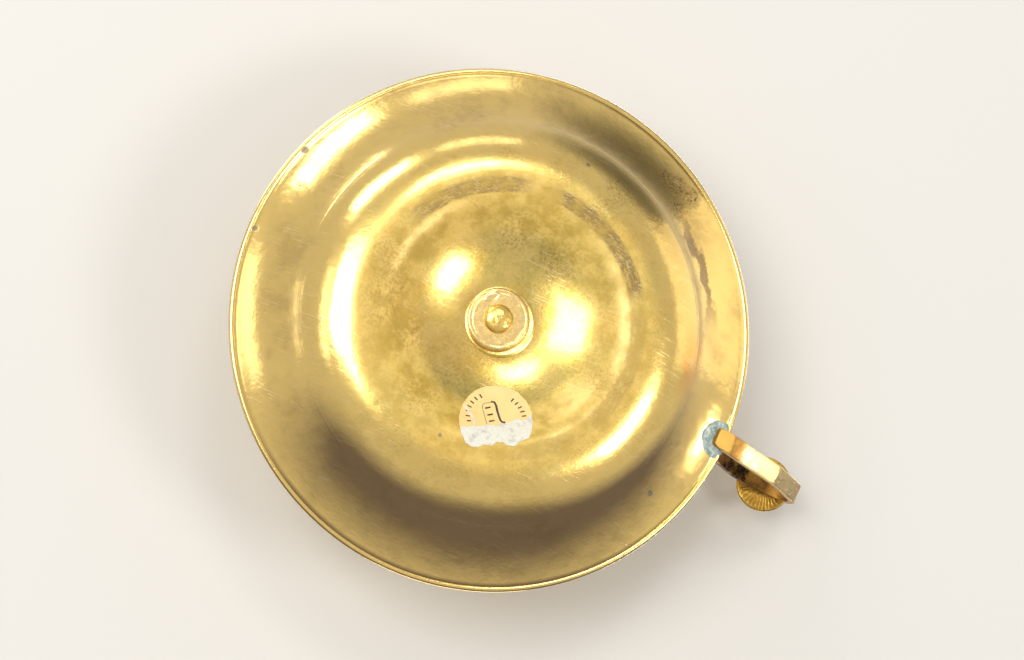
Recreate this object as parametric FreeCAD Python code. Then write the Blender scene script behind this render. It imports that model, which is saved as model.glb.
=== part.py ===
import FreeCAD, Part
import math
import os

# Brass chamberstick: a spun drip dish with a candle socket peened through its middle,
# a cast finger ring soldered to the rim and a thumb rest on top of the ring.
#
# Millimetres.  +Z is up, the dish stands on the plane z = 0, the socket's axis is the
# Z axis and the finger ring points along +X.

# Dish
sheet = 1.1                 # thickness of the spun sheet
seat_radius = 9.3           # flat seat under the clamp washer
seat_step = 0.35            # how far the seat stands below the dome around it
seat_overlap = 0.1          # how far the seat runs into the dome
dome_slope = 5.0            # degrees, fall of the dome beside the seat
dome_turn = 32.0            # degrees the dome steepens by
dome_radius = 38.0
foot_bend = 10.8            # bend from the dome to the foot ring
foot_width = 2.0            # flat ring that the dish stands on
wall_radius = 21.0          # rounded wall from the foot ring up to the crease
crease_slope = 50.0
flare_radius = 38.9         # flange from the crease out to the rim
rim_slope = 20.0
bead_radius = 0.85          # rolled edge of the rim
bead_inset = 0.15           # how far the bead's middle lies inside the end of the flange

# Candle socket, turned in one piece with its tenon
tenon_radius = 2.75
socket_foot_radius = 8.8
socket_foot_edge = 1.3
neck_radius = 4.4
neck_height = 5.0           # from the socket's foot to the knop
neck_flare = (1.0, 1.6)     # a point on the neck's hollow, out from the neck and up from the foot
knop_radius = 7.4
knop_height = 8.5
cup_radius = 12.9
cup_floor = 3.0             # thickness below the bore
cup_shoulder = 3.5          # height of the cup's rounded bottom
cup_swell = 2.6             # out from the neck, a point on the rounded bottom
bore_radius = 11.2
bore_depth = 22.0
lip_radius = 17.5
lip_thickness = 1.4
lip_height = 5.0            # from the cup's straight wall to its top
lip_hollow = (1.4, 2.6)     # a point on the lip's hollow, out from the cup and down from the top
socket_top = 61.0

# Clamp washer and the peened head of the tenon; both sit a little off the axis
washer_radius = 8.3
washer_thickness = 1.2
washer_bevel = 0.35
head_radius = 3.9
head_height = 1.6
off_axis = FreeCAD.Vector(-0.9, -0.3, 0)
hole_clearance = 0.1

# Finger ring: a flat strap bent into a loop
strap_width = 5.4
strap_thickness = 2.0
strap_start = FreeCAD.Vector(66.8, 0, 16.0)
strap_slope = 25.0
tongue_run = 5.0            # flat tongue soldered under the rim
tongue_turn = 6.5
tongue_radius = 12.0
lower_run = 19.28           # long flat from the tongue to the filed corner
corner_turn = 16.0
corner_radius = 4.0
nose_run = 12.43
nose_turn = 117.5
nose_radius = 6.0
crown_turn = 63.0
crown_radius = 17.0
leg_run = 6.0
ankle_turn = 26.0
ankle_radius = 20.0
foot_run = 11.6

# Thumb rest
rest_radius = 7.8
rest_thickness = 1.6
rest_tilt = 8.0             # degrees that the plate leans outwards
rest_centre = FreeCAD.Vector(91.4, 0, 48.95)

# Solder joints
rim_solder_radius = 5.2
rim_solder_thickness = 0.7
rim_solder_centre = FreeCAD.Vector(67.6, 0.6, 0)
dish_solder_radius = 4.2
dish_solder_thickness = 2.2
rest_solder_length = 10.0
rest_solder_depth = 2.4
rest_solder_inset = 0.6     # how far its middle lies inside the thumb plate's

# Paper label
label_radius = 9.5
label_thickness = 0.1
label_distance = 25.2       # from the axis to the middle of the label
label_azimuth = 69.5
label_tilt = 27.0           # degrees, mean fall of the dish under the label

UP = FreeCAD.Vector(0, 0, 1)
ORIGIN = FreeCAD.Vector(0, 0, 0)


def sine(angle):
    return math.sin(math.radians(angle))


def cosine(angle):
    return math.cos(math.radians(angle))


def along(slope):
    """Unit vector in the XZ plane that climbs at the slope."""
    return FreeCAD.Vector(cosine(slope), 0, sine(slope))


def left(slope):
    """Unit vector in the XZ plane, square to the slope on its left."""
    return FreeCAD.Vector(-sine(slope), 0, cosine(slope))


def trace(start, slope, steps, shift):
    """Edges and end point of a line of tangent steps, moved sideways to its left by shift.

    A step is (turn in degrees, radius), or (0, length) for a straight run.
    """
    point = start + left(slope) * shift
    edges = []
    for turn, size in steps:
        if turn == 0:
            end = point + along(slope) * size
            edges.append(Part.LineSegment(point, end).toShape())
        else:
            reach = math.copysign(size, turn) - shift
            centre = point + left(slope) * reach
            middle = centre - left(slope + turn / 2) * reach
            end = centre - left(slope + turn) * reach
            edges.append(Part.Arc(point, middle, end).toShape())
            slope += turn
        point = end
    return edges, point


def strip(start, slope, steps, thickness, base=0.0):
    """Face between the traced line and its parallel, thickness further to the left."""
    lower, lower_end = trace(start, slope, steps, base)
    upper, upper_end = trace(start, slope, steps, base + thickness)
    first = start + left(slope) * base
    second = start + left(slope) * (base + thickness)
    caps = [Part.LineSegment(first, second).toShape(), Part.LineSegment(lower_end, upper_end).toShape()]
    ordered = Part.sortEdges(lower + upper + caps)[0]
    return Part.Face(Part.Wire(ordered))


def turned(face):
    return face.revolve(ORIGIN, UP, 360)


def profile(points):
    """Closed face in the XZ plane; a point given as (r, z, (r, z)) is reached by an arc."""
    edges = []
    here = FreeCAD.Vector(points[0][0], 0, points[0][1])
    first = here
    for step in points[1:]:
        end = FreeCAD.Vector(step[0], 0, step[1])
        if len(step) == 3:
            middle = FreeCAD.Vector(step[2][0], 0, step[2][1])
            edges.append(Part.Arc(here, middle, end).toShape())
        else:
            edges.append(Part.LineSegment(here, end).toShape())
        here = end
    edges.append(Part.LineSegment(here, first).toShape())
    return Part.Face(Part.Wire(edges))


def cylinder(radius, low, high, centre=ORIGIN):
    return Part.makeCylinder(radius, high - low, FreeCAD.Vector(centre.x, centre.y, low))


# Heights worked out from the dish's bends
bent_slope = dome_slope + dome_turn
dome_rise = dome_radius * (cosine(dome_slope) - cosine(bent_slope)) + foot_bend * (1 - cosine(bent_slope))
seat_bottom = dome_rise - seat_step
dish_top = dome_rise + sheet
washer_bottom = seat_bottom - washer_thickness

DISH_START = FreeCAD.Vector(seat_radius, 0, dome_rise)
DISH_STEPS = [
    (-dome_turn, dome_radius),
    (bent_slope, foot_bend),
    (0, foot_width),
    (crease_slope, wall_radius),
    (rim_slope - crease_slope, flare_radius),
]
STRAP_STEPS = [
    (0, tongue_run),
    (tongue_turn, tongue_radius),
    (0, lower_run),
    (corner_turn, corner_radius),
    (0, nose_run),
    (nose_turn, nose_radius),
    (crown_turn, crown_radius),
    (0, leg_run),
    (ankle_turn, ankle_radius),
    (0, foot_run),
]


def drip_dish():
    """Spun dish: domed middle, foot ring, rounded wall, flared flange and beaded rim."""
    shell = turned(strip(DISH_START, -dome_slope, DISH_STEPS, sheet))
    seat = cylinder(seat_radius + seat_overlap, seat_bottom, dish_top)
    rim = trace(DISH_START, -dome_slope, DISH_STEPS, sheet / 2)[1]
    bead = Part.makeTorus(rim.x - bead_inset, bead_radius, FreeCAD.Vector(0, 0, rim.z))
    hole = cylinder(tenon_radius + hole_clearance, 0, dish_top + 1)
    return shell.fuse([seat, bead]).removeSplitter().cut(hole)


def candle_socket():
    """Turned cup on a knopped stem, with the tenon and its peened head below the dish."""
    foot_top = dish_top + socket_foot_edge
    knop_low = foot_top + neck_height
    knop_high = knop_low + knop_height
    cup_low = socket_top - bore_depth - cup_floor
    body = profile([
        (0, washer_bottom),
        (tenon_radius, washer_bottom),
        (tenon_radius, dish_top),
        (socket_foot_radius, dish_top),
        (socket_foot_radius, foot_top),
        (neck_radius, knop_low, (neck_radius + neck_flare[0], foot_top + neck_flare[1])),
        (neck_radius, knop_high, (knop_radius, (knop_low + knop_high) / 2)),
        (cup_radius, cup_low + cup_shoulder, (neck_radius + cup_swell, cup_low)),
        (cup_radius, socket_top - lip_height),
        (lip_radius, socket_top - lip_thickness, (cup_radius + lip_hollow[0], socket_top - lip_hollow[1])),
        (lip_radius, socket_top),
        (bore_radius, socket_top),
        (bore_radius, socket_top - bore_depth),
        (0, socket_top - bore_depth),
    ])
    return turned(body).fuse(peened_head()).removeSplitter()


def peened_head():
    """Low dome that the hammer spread over the washer."""
    ball = (head_radius ** 2 + head_height ** 2) / (2 * head_height)
    centre = off_axis + UP * (washer_bottom - head_height + ball)
    column = cylinder(head_radius, washer_bottom - head_height, washer_bottom, off_axis)
    return Part.makeSphere(ball, centre).common(column)


def clamp_washer():
    """Bevelled washer whose hole lies off its own middle."""
    blank = cylinder(washer_radius, washer_bottom, seat_bottom, off_axis)
    low_edge = [edge for edge in blank.Edges if edge.BoundBox.ZMax < washer_bottom + washer_bevel]
    blank = blank.makeChamfer(washer_bevel, low_edge)
    return blank.cut(cylinder(tenon_radius + hole_clearance, washer_bottom - 1, seat_bottom + 1))


def strap():
    """Flat strap bent into the finger ring, before its ends are fitted to the dish."""
    face = strip(strap_start, strap_slope, STRAP_STEPS, strap_thickness)
    face.translate(FreeCAD.Vector(0, -strap_width / 2, 0))
    return face.extrude(FreeCAD.Vector(0, strap_width, 0))


def thumb_plate():
    """Round plate that lies on the top of the ring."""
    normal = FreeCAD.Vector(sine(rest_tilt), 0, cosine(rest_tilt))
    return Part.makeCylinder(rest_radius, rest_thickness, rest_centre, normal)


def rim_solder(dish, ring):
    """Flat pool of solder under the flange, round the lower end of the ring."""
    skin = turned(strip(DISH_START, -dome_slope, DISH_STEPS, rim_solder_thickness, -rim_solder_thickness))
    pool = skin.common(cylinder(rim_solder_radius, 0, socket_top, rim_solder_centre))
    return largest(pool.cut([dish, ring]))


def dish_solder(dish, ring, end):
    """Bead of solder round the upper end of the ring, on the inside of the dish."""
    bead = Part.makeSphere(dish_solder_radius, end)
    inside = turned(strip(DISH_START, -dome_slope, DISH_STEPS, dish_solder_thickness, sheet))
    return largest(bead.common(inside).cut([dish, ring]))


def rest_solder(ring, plate):
    """Solder that fills the gap between the ring's crown and the flat thumb plate."""
    block = Part.makeBox(rest_solder_length, strap_width, rest_solder_depth + rest_thickness)
    inner_end = -rest_solder_length / 2 - rest_solder_inset
    block.translate(FreeCAD.Vector(inner_end, -strap_width / 2, -rest_solder_depth))
    block.rotate(ORIGIN, FreeCAD.Vector(0, 1, 0), rest_tilt)
    block.translate(rest_centre)
    return largest(block.cut([strap_inside(), ring, plate]))


def strap_inside():
    """The space that the finger ring goes round, down to its lower run."""
    inner, inner_end = trace(strap_start, strap_slope, STRAP_STEPS, strap_thickness)
    closing = Part.LineSegment(inner_end, inner[0].Vertexes[0].Point).toShape()
    face = Part.Face(Part.Wire(inner + [closing]))
    face.translate(FreeCAD.Vector(0, -strap_width, 0))
    return face.extrude(FreeCAD.Vector(0, 2 * strap_width, 0))


def dome_height(radius):
    """Height of the dome's underside at a distance from the axis."""
    slope = math.degrees(math.asin(sine(dome_slope) + (radius - seat_radius) / dome_radius))
    return dome_rise - dome_radius * (cosine(dome_slope) - cosine(slope))


def paper_label(dish):
    """Round paper stuck to the underside, taking the dish's curve."""
    skin = turned(strip(DISH_START, -dome_slope, DISH_STEPS, label_thickness, -label_thickness))
    turn = FreeCAD.Rotation(UP, label_azimuth)
    middle = turn.multVec(FreeCAD.Vector(label_distance, 0, dome_height(label_distance)))
    normal = turn.multVec(FreeCAD.Vector(sine(label_tilt), 0, cosine(label_tilt)))
    punch = Part.makeCylinder(label_radius, 2 * label_radius, middle - normal * label_radius, normal)
    return largest(skin.common(punch).cut(dish))


def largest(shape):
    return max(shape.Solids, key=lambda solid: solid.Volume)


def build():
    dish = drip_dish()
    bent = strap()
    ring = largest(bent.cut(dish))
    plate = thumb_plate().cut(ring)
    end = trace(strap_start, strap_slope, STRAP_STEPS, strap_thickness / 2)[1]
    return {
        "drip_dish": dish,
        "candle_socket": candle_socket(),
        "clamp_washer": clamp_washer(),
        "finger_ring": ring,
        "thumb_rest": plate,
        "rim_solder": rim_solder(dish, ring),
        "dish_solder": dish_solder(dish, ring, end),
        "rest_solder": rest_solder(ring, plate),
        "paper_label": paper_label(dish),
    }


os.makedirs("parts", exist_ok=True)
for name, shape in build().items():
    solids = shape.Solids
    print(name, len(solids), "solid", shape.isValid(), round(shape.Volume, 1), shape.BoundBox)
    (solids[0] if len(solids) == 1 else shape).exportStep(f"parts/{name}.step")
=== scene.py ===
import bmesh
import bpy
import math
from mathutils import Matrix, Vector, noise
from types import SimpleNamespace


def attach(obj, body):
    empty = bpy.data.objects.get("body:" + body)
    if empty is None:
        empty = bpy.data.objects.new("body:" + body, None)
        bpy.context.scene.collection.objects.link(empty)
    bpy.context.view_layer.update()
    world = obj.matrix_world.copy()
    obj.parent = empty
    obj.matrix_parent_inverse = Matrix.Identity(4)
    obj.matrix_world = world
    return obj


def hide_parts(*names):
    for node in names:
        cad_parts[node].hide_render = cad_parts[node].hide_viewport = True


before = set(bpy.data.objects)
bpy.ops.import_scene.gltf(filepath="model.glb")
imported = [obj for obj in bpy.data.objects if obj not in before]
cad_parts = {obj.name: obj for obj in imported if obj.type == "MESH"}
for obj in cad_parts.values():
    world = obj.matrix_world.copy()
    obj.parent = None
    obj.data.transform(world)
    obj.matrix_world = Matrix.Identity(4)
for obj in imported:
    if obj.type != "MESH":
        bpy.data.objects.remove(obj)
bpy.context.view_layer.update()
TAU = 2 * math.pi

# A brass chamberstick: spun drip dish, turned candle socket peened through it, cast finger
# ring with a filed thumb rest, solder at the joints and a torn paper label underneath.
# Sizes are millimetres and degrees; points become metres as the meshes are made.

# Dish
SHEET = 1.1
SEAT_RADIUS = 9.3
SEAT_STEP = 0.35
SCRIBED_RADIUS = 8.8        # ring scribed in the seat, round the washer
DOME_SLOPE = 5.0
DOME_TURN = 32.0
DOME_RADIUS = 38.0
FOOT_BEND = 10.8
FOOT_WIDTH = 2.0
WALL_RADIUS = 21.0
CREASE_SLOPE = 50.0
CREASE_RADIUS = 53.45       # line left where the wall turns into the flange
FLARE_RADIUS = 38.9
RIM_SLOPE = 20.0
BEAD_RADIUS = 0.85
BEAD_SWEEP = 145.0          # to each side of the rim's own slope
WEAR_RADIUS = 35.5          # where the foot ring has rubbed on tables

# Tenon hole, washer and peened head
HOLE_RADIUS = 2.85
WASHER_RADIUS = 8.3
WASHER_THICKNESS = 1.2
WASHER_BEVEL = 0.35
WASHER_GROOVE_RADIUS = 7.1
HEAD_RADIUS = 3.9
HEAD_HEIGHT = 1.6
HAMMER_ANGLE = -38          # square to the folds of the peened head
OFF_AXIS = Vector((-0.9, -0.3, 0))

# Candle socket
TENON_RADIUS = 2.75
SOCKET_FOOT_RADIUS = 8.8
SOCKET_FOOT_EDGE = 1.3
NECK_RADIUS = 4.4
KNOP_RADIUS = 7.4
KNOP_HEIGHT = 8.5
CUP_RADIUS = 12.9
BORE_RADIUS = 11.2
BORE_DEPTH = 22.0
LIP_RADIUS = 17.5
LIP_THICKNESS = 1.4
SOCKET_TOP = 61.0

# Finger ring and thumb rest. Each step is a turn and its radius, or no turn and a length.
STRAP_WIDTH = 5.4
STRAP_THICKNESS = 2.0
STRAP_CORNER = 0.28
STRAP_START = Vector((66.8, 0, 16.0))
STRAP_SLOPE = 25.0
STRAP_STEPS = [(0, 5.0), (6.5, 12.0), (0, 19.28), (16, 4.0), (0, 12.43), (117.5, 6.0), (63, 17.0), (0, 6.0),
               (26, 20.0), (0, 11.6)]
REST_RADIUS = 7.8
REST_THICKNESS = 1.6
REST_CORNER = 0.45
REST_TILT = 8.0
REST_CENTRE = Vector((91.4, 0, 48.95))

# Marks along the strap, by their distance from the end of its tongue
PAD_LENGTH = 5.9
FILE_RIDGES = (8.6, 9.5, 10.0, 11.6, 14.1)
FILED_END = (38.0, 42.0)

# Solder pool under the rim
POOL_CENTRE = Vector((67.6, 0.6, 0))
POOL_RADIUS = 5.1
POOL_THICKNESS = 0.7
POOL_LIMIT = 70.2           # it stops at the rim

# Label
LABEL_DISTANCE = 25.2
LABEL_AZIMUTH = 69.5
LABEL_TILT = 27.0


def sine(angle):
    return math.sin(math.radians(angle))


def cosine(angle):
    return math.cos(math.radians(angle))


def ramp(value, low, high):
    """0 below low, 1 above high and a smooth rise between them."""
    t = min(1.0, max(0.0, (value - low) / (high - low)))
    return t * t * (3 - 2 * t)


def plateau(value, rise, fall):
    """1 between two ramps, each given by its ends, and 0 outside them."""
    return ramp(value, *rise) * (1 - ramp(value, *fall))


BENT_SLOPE = DOME_SLOPE + DOME_TURN
DOME_RISE = DOME_RADIUS * (cosine(DOME_SLOPE) - cosine(BENT_SLOPE)) + FOOT_BEND * (1 - cosine(BENT_SLOPE))
SEAT_BOTTOM = DOME_RISE - SEAT_STEP
DISH_TOP = DOME_RISE + SHEET
WASHER_BOTTOM = SEAT_BOTTOM - WASHER_THICKNESS
DISH_START = Vector((SEAT_RADIUS, 0, DOME_RISE))
DISH_STEPS = [
    (-DOME_TURN, DOME_RADIUS),
    (BENT_SLOPE, FOOT_BEND),
    (0, FOOT_WIDTH),
    (CREASE_SLOPE, WALL_RADIUS),
    (RIM_SLOPE - CREASE_SLOPE, FLARE_RADIUS),
]

# ---------------------------------------------------------------- nodes


def linear(code):
    """Linear colour of an sRGB hex value."""
    parts = [int(code[i:i + 2], 16) / 255 for i in (1, 3, 5)]
    return (*[p / 12.92 if p <= 0.04045 else ((p + 0.055) / 1.055) ** 2.4 for p in parts], 1)


def add(tree, kind, inputs=None, output=None, **settings):
    """Adds a node with its settings and links, and returns one of its outputs.

    An input is named, or numbered where names repeat, and takes a value or the output that feeds it.
    """
    node = tree.nodes.new(kind)
    for key, value in settings.items():
        setattr(node, key, value)
    for key, value in (inputs or {}).items():
        found = node.inputs[key] if isinstance(key, int) else next(
            s for s in node.inputs if s.enabled and s.name == key)
        if isinstance(value, bpy.types.NodeSocket):
            tree.links.new(value, found)
        else:
            found.default_value = value
    return next((s for s in node.outputs if s.enabled and output in (None, s.name)), None)


def new_material(name):
    material = bpy.data.materials.new(name)
    material.use_nodes = True
    material.node_tree.nodes.clear()
    return material, material.node_tree


def either(tree, masks):
    """Mask of the places that any of several masks covers."""
    total = masks[0]
    for mask in masks[1:]:
        total = add(tree, "ShaderNodeMath", {0: total, 1: mask}, operation="MAXIMUM")
    return total


def overlap(tree, *masks):
    """Mask of the places where several masks meet; a plain number among them weakens it."""
    total = masks[0]
    for mask in masks[1:]:
        total = add(tree, "ShaderNodeMath", {0: total, 1: mask}, operation="MULTIPLY", use_clamp=True)
    return total


def weighted(tree, parts, base=0.0):
    """Sum of masks times weights."""
    total = base
    for mask, weight in parts:
        total = add(tree, "ShaderNodeMath", {0: mask, 1: weight, 2: total}, operation="MULTIPLY_ADD")
    return total


def layered(tree, colour, layers):
    """Colour with others laid over it in turn by their masks; a colour is a hex value or an output."""
    for mask, over in layers:
        shades = {6: colour, 7: over}
        inputs = {key: linear(shade) if isinstance(shade, str) else shade for key, shade in shades.items()}
        colour = add(tree, "ShaderNodeMix", {0: mask, **inputs}, data_type="RGBA")
    return colour


def radius_and_angle(tree, place):
    """Distance from the axis in mm, and the angle round it in radians."""
    parts = add(tree, "ShaderNodeSeparateXYZ", {"Vector": place}).node.outputs
    angle = add(tree, "ShaderNodeMath", {0: parts["Y"], 1: parts["X"]}, operation="ARCTAN2")
    flat = add(tree, "ShaderNodeCombineXYZ", {"X": parts["X"], "Y": parts["Y"]})
    return add(tree, "ShaderNodeVectorMath", {0: flat}, output="Value", operation="LENGTH"), angle


# ---------------------------------------------------------------- camera, floors and light

# The dish is looked at from below, a little off its axis. Places here are in metres.
CAMERA_PLACE = Vector((-0.0643, 0.1241, -0.6156))
CAMERA_FORWARD = Vector((0.1061, -0.1929, 0.9755)).normalized()
CAMERA_RIGHT = CAMERA_FORWARD.cross(Vector((-0.4437, -0.8872, -0.1272))).normalized()
CAMERA_UP = CAMERA_RIGHT.cross(CAMERA_FORWARD)
FLOOR_REACH = 3.0
FLOOR_COLOUR = "#C4C1BB"
DISH_MIDDLE = Vector((0, 0, 0.01))
HANDLE_FACET = Vector((0.083, 0, 0.021))

# Name, angle off the camera's line, clock angle, width, height, brightness and sometimes colour
BOXES_BELOW = [
    ("right_box", 47, -12, 0.34, 0.32, 12),
    ("left_box", 23, 134, 0.54, 0.58, 9),
    ("wide_left_box", 44, 160, 0.60, 0.20, 1.7),
    ("near_box", 39, 70, 0.34, 0.24, 9),
    ("upper_left_box", 67, 114, 0.46, 0.30, 6),
    ("upper_box", 77, 84, 0.45, 0.22, 1.2),
    ("far_right_box", 98, 14, 0.80, 1.00, 0.70, "#FFF3D8"),
    ("far_left_box", 84, 172, 0.50, 0.035, 3.0),
]
# Name, place, width, height and brightness
BOXES_ABOVE = [
    ("high_box", (0.25, -0.45, 1.1), 0.9, 0.7, 4),
    ("side_box", (-0.9, -0.5, 0.55), 0.5, 0.7, 4),
    ("back_box", (0.4, 0.9, 0.6), 0.7, 0.4, 4),
]

# The dark card curves round the lower flange between two clock angles
CARD_CLOCKS = (-170, -12)
CARD_COLUMNS = 32
CARD_RADIUS = 0.14
CARD_TOP = 0.06


def make_camera():
    data = bpy.data.cameras.new("camera")
    data.sensor_width = 36
    data.lens = 85.7
    data.clip_start = 0.01
    data.clip_end = 20
    camera = bpy.data.objects.new("camera", data)
    turn = Matrix((CAMERA_RIGHT, CAMERA_UP, -CAMERA_FORWARD)).transposed()
    camera.matrix_world = Matrix.Translation(CAMERA_PLACE) @ turn.to_4x4()
    bpy.context.scene.collection.objects.link(camera)
    bpy.context.scene.camera = camera


def floor_paper(name):
    """Matt pale paper that shows on the front of a floor and is clear from behind."""
    material, tree = new_material(name)
    pale = add(tree, "ShaderNodeBsdfDiffuse", {"Color": linear(FLOOR_COLOUR)})
    clear = add(tree, "ShaderNodeBsdfTransparent")
    behind = add(tree, "ShaderNodeNewGeometry", output="Backfacing")
    both = add(tree, "ShaderNodeMixShader", {0: behind, 1: pale, 2: clear})
    add(tree, "ShaderNodeOutputMaterial", {"Surface": both})
    return material


def studio_sheet(name, mesh, material, unseen_by):
    """Floor or card in the studio, left out of some of the renderer's rays."""
    mesh.materials.append(material)
    sheet = bpy.data.objects.new(name, mesh)
    bpy.context.scene.collection.objects.link(sheet)
    for ray in unseen_by:
        setattr(sheet, "visible_" + ray, False)
    return sheet


def make_floor(name, height, facing):
    """Level floor that faces up or down; it never blocks or mirrors the light."""
    corners = [(x * FLOOR_REACH, y * FLOOR_REACH, height) for x, y in ((-1, -1), (1, -1), (1, 1), (-1, 1))]
    mesh = bpy.data.meshes.new(name)
    mesh.from_pydata(corners, [], [(0, 1, 2, 3) if facing > 0 else (3, 2, 1, 0)])
    paper = floor_paper(name + "_paper")
    floor = studio_sheet(name, mesh, paper, ("shadow", "diffuse", "glossy", "transmission"))


def area_light(name, place, width, height, brightness, colour="#FFFFFF", target=DISH_MIDDLE, spread=180):
    """Soft box that faces a target; its power follows from its brightness and its size."""
    data = bpy.data.lights.new(name, "AREA")
    data.shape = "RECTANGLE"
    data.size = width
    data.size_y = height
    data.energy = brightness * math.pi * width * height
    data.color = linear(colour)[:3]
    data.spread = math.radians(spread)
    lamp = bpy.data.objects.new(name, data)
    toward = place - target
    lamp.matrix_world = Matrix.Translation(place) @ toward.to_track_quat("Z", "Y").to_matrix().to_4x4()
    bpy.context.scene.collection.objects.link(lamp)


def outward(clock):
    """Direction away from the camera's line, by its clock angle from the right."""
    return CAMERA_RIGHT * cosine(clock) + CAMERA_UP * sine(clock)


def below(off_axis, clock, distance=1.2):
    """Place under the dish, by its angle off the camera's line and its clock angle from the right."""
    return (outward(clock) * sine(off_axis) - CAMERA_FORWARD * cosine(off_axis)) * distance


def surround(tree):
    """Pale room round the lights that falls off to dark on the near side and in the far corner."""
    facing = add(tree, "ShaderNodeTexCoord", output="Generated")
    dark = []
    for toward, first, last in ((-CAMERA_UP, 0.70, 1.05), (below(104, 45, 1), 0.86, 1.02)):
        near = add(tree, "ShaderNodeVectorMath", {0: facing, 1: toward}, output="Value",
                   operation="DOT_PRODUCT")
        dark.append(add(tree, "ShaderNodeMapRange", {"Value": near, "From Min": first, "From Max": last},
                        output="Result", interpolation_type="SMOOTHSTEP"))
    strength = add(tree, "ShaderNodeMapRange", {"Value": either(tree, dark), "To Min": 0.74, "To Max": 0.15},
                   output="Result")
    return add(tree, "ShaderNodeBackground", {"Color": linear("#FFFDFB"), "Strength": strength})


def dark_card_paper():
    """Dull violet-grey card that lets the light past where it thins out."""
    material, tree = new_material("dark_card_paper")
    shade = add(tree, "ShaderNodeAttribute", output="Fac", attribute_name="solid")
    cover = add(tree, "ShaderNodeMapRange", {"Value": shade, "From Max": 0.5}, output="Result")
    paper = add(tree, "ShaderNodeEmission", {"Color": linear("#7F7A92"), "Strength": 0.8})
    clear = add(tree, "ShaderNodeBsdfTransparent")
    both = add(tree, "ShaderNodeMixShader", {0: cover, 1: clear, 2: paper})
    add(tree, "ShaderNodeOutputMaterial", {"Surface": both})
    return material


def make_dark_card():
    """Dark curved card, seen only in the brass; it thins out at its ends and at its free edge."""
    verts, solid = [], []
    first, last = CARD_CLOCKS
    for i in range(CARD_COLUMNS + 1):
        clock = first + (last - first) * i / CARD_COLUMNS
        across = outward(clock) * CARD_RADIUS
        free = -0.075 + 0.07 * max(0.0, (clock + 75) / 48)
        verts += [(across.x, across.y, CARD_TOP), (across.x, across.y, free)]
        solid += [ramp(clock, first, -138) * (1 - 0.8 * ramp(clock, -42, last)), 0.0]
    faces = [(2 * i, 2 * i + 2, 2 * i + 3, 2 * i + 1) for i in range(CARD_COLUMNS)]
    mesh = bpy.data.meshes.new("dark_card")
    mesh.from_pydata(verts, [], faces)
    mesh.attributes.new("solid", "FLOAT", "POINT").data.foreach_set("value", solid)
    card = studio_sheet("dark_card", mesh, dark_card_paper(), ("camera", "shadow", "diffuse"))


def make_room():
    """Room that lights the brass, behind a plain backdrop for the camera."""
    world = bpy.data.worlds.new("studio")
    bpy.context.scene.world = world
    world.use_nodes = True
    tree = world.node_tree
    tree.nodes.clear()
    seen = add(tree, "ShaderNodeLightPath", output="Is Camera Ray")
    backdrop = add(tree, "ShaderNodeBackground", {"Color": linear("#E4E2DD"), "Strength": 1.0})
    both = add(tree, "ShaderNodeMixShader", {0: seen, 1: surround(tree), 2: backdrop})
    add(tree, "ShaderNodeOutputWorld", {"Surface": both})
    bpy.context.scene.view_settings.view_transform = "Standard"


def light_scene():
    """Plain soft studio light: boxes below for the underside, a small one for the handle, boxes above."""
    for name, off_axis, clock, *box in BOXES_BELOW:
        area_light(name, below(off_axis, clock), *box)
    area_light("handle_box", HANDLE_FACET + below(80, -14, 0.15), 0.03, 0.04, 0.11,
               target=HANDLE_FACET, spread=5)
    for name, place, *box in BOXES_ABOVE:
        area_light(name, Vector(place), *box)


# ---------------------------------------------------------------- lines and meshes


def along(slope):
    return Vector((cosine(slope), 0, sine(slope)))


def left(slope):
    return Vector((-sine(slope), 0, cosine(slope)))


def bend_line(start, slope, steps, shift=0.0, spacing=0.8):
    """Points and slopes along tangent runs and arcs, moved sideways to the left by shift."""
    point = start + left(slope) * shift
    line = [(point, slope)]
    for turn, size in steps:
        reach = size if turn == 0 else math.copysign(size, turn) - shift
        length = size if turn == 0 else abs(math.radians(turn) * reach)
        count = max(2, round(length / spacing))
        centre = point + left(slope) * reach
        for i in range(1, count + 1):
            if turn == 0:
                line.append((point + along(slope) * (size * i / count), slope))
            else:
                here = slope + turn * i / count
                line.append((centre - left(here) * reach, here))
        point = line[-1][0]
        slope += turn
    return line


def underside(radius):
    """Height of the dish's underside at a distance from its axis."""
    for (a, _), (b, _) in zip(UNDER_LINE, UNDER_LINE[1:]):
        if a.x <= radius <= b.x:
            return a.z + (b.z - a.z) * (radius - a.x) / (b.x - a.x)
    return UNDER_LINE[0][0].z if radius < UNDER_LINE[0][0].x else UNDER_LINE[-1][0].z


UNDER_LINE = bend_line(DISH_START, -DOME_SLOPE, DISH_STEPS, 0.0, 0.5)


def finish_piece(name, mesh, node, sharp=35):
    """Smooths a mesh, makes it the visible piece and lets it stand for its CAD node."""
    shape = bmesh.new()
    shape.from_mesh(mesh)
    bmesh.ops.remove_doubles(shape, verts=shape.verts, dist=1e-6)
    bmesh.ops.recalc_face_normals(shape, faces=shape.faces)
    for face in shape.faces:
        face.smooth = True
    shape.to_mesh(mesh)
    shape.free()
    mesh.set_sharp_from_angle(angle=math.radians(sharp))
    piece = bpy.data.objects.new(name, mesh)
    bpy.context.scene.collection.objects.link(piece)
    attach(piece, "root")
    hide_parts(node)
    return piece


def start_shape(name, sockets):
    """New geometry-node tree, and the outputs that carry its named inputs into it."""
    tree = bpy.data.node_groups.new(name, "GeometryNodeTree")
    for label, kind in sockets + [("Finish", "Material")]:
        tree.interface.new_socket(name=label, in_out="INPUT", socket_type="NodeSocket" + kind)
    tree.interface.new_socket(name="Shape", in_out="OUTPUT", socket_type="NodeSocketGeometry")
    return tree, tree.nodes.new("NodeGroupInput").outputs


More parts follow.
